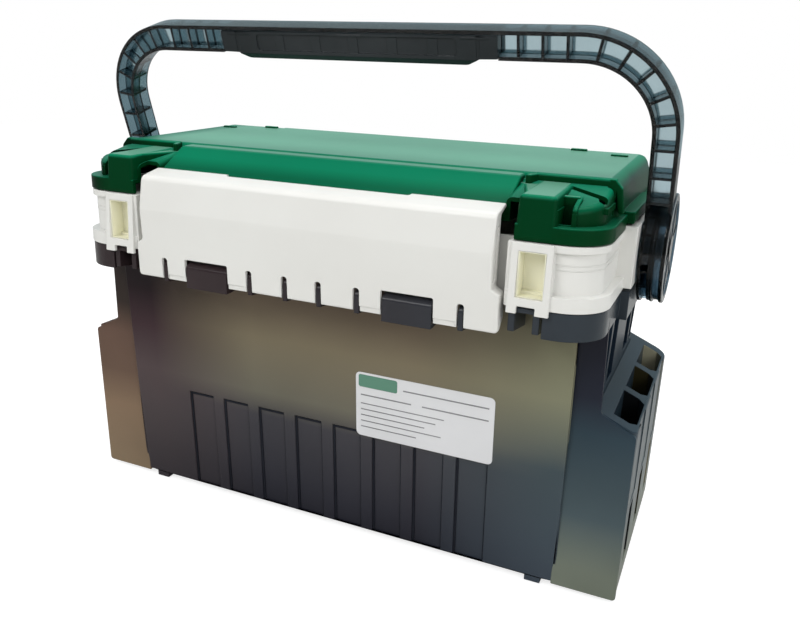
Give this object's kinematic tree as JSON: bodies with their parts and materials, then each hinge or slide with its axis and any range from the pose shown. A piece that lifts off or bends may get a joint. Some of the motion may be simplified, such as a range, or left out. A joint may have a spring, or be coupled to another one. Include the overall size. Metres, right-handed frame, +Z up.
{
  "type": "fishing seat box",
  "caption": "Seat box with hinged seat lid, fitted tray, front latch, swinging arch handle and end tool holders.",
  "frame": {"origin": "on the floor under the middle of the box", "axes": "+X to the right as seen facing the latch, -Y out of the latch side, +Z up"},
  "size_m": [0.427, 0.235, 0.3635],
  "materials": {
    "smoke_plastic": "smoke translucent, semi-gloss",
    "white_plastic": "warm white, satin",
    "green_plastic": "deep green, semi-gloss",
    "handle_plastic": "dark smoke translucent, semi-gloss",
    "tray_plastic": "warm white, matt",
    "foot_rubber": "black, matt",
    "pin_steel": "drawn rod"
  },
  "bodies": {
    "tub": {"body_tub": "smoke_plastic", "body_rim": "smoke_plastic", "tool_holder_right": "smoke_plastic", "tool_holder_left": "smoke_plastic", "rubber_feet": "foot_rubber", "latch_pins": "pin_steel", "frame_hinge_pins": "pin_steel"},
    "frame": {"middle_frame": "white_plastic", "upper_tray": "tray_plastic", "tray_long_divider": "tray_plastic", "tray_cross_dividers": "tray_plastic", "lid_hinge_pins": "pin_steel", "pivot_studs": "pin_steel"},
    "lid": {"seat_lid": "green_plastic"},
    "latch": {"front_latch": "white_plastic"},
    "handle": {"handle_arch": "handle_plastic", "grip_front": "handle_plastic", "grip_rear": "handle_plastic", "grip_key": "handle_plastic", "pivot_caps": "handle_plastic"}
  },
  "joints": [
    {"name": "frame_hinge", "type": "hinge", "parent": "tub", "child": "frame", "pos_m": [0, 0.1145, 0.208], "axis": [-1, 0, 0], "range_deg": [0, 95]},
    {"name": "lid_hinge", "type": "hinge", "parent": "frame", "child": "lid", "pos_m": [0, 0.1105, 0.2455], "axis": [-1, 0, 0], "range_deg": [0, 18]},
    {"name": "latch_hinge", "type": "hinge", "parent": "tub", "child": "latch", "pos_m": [0, -0.108, 0.1905], "axis": [1, 0, 0], "range_deg": [0, 160]},
    {"name": "handle_swing", "type": "hinge", "parent": "frame", "child": "handle", "pos_m": [0, 0, 0.226], "axis": [-1, 0, 0], "range_deg": [-75, 105]}
  ]
}
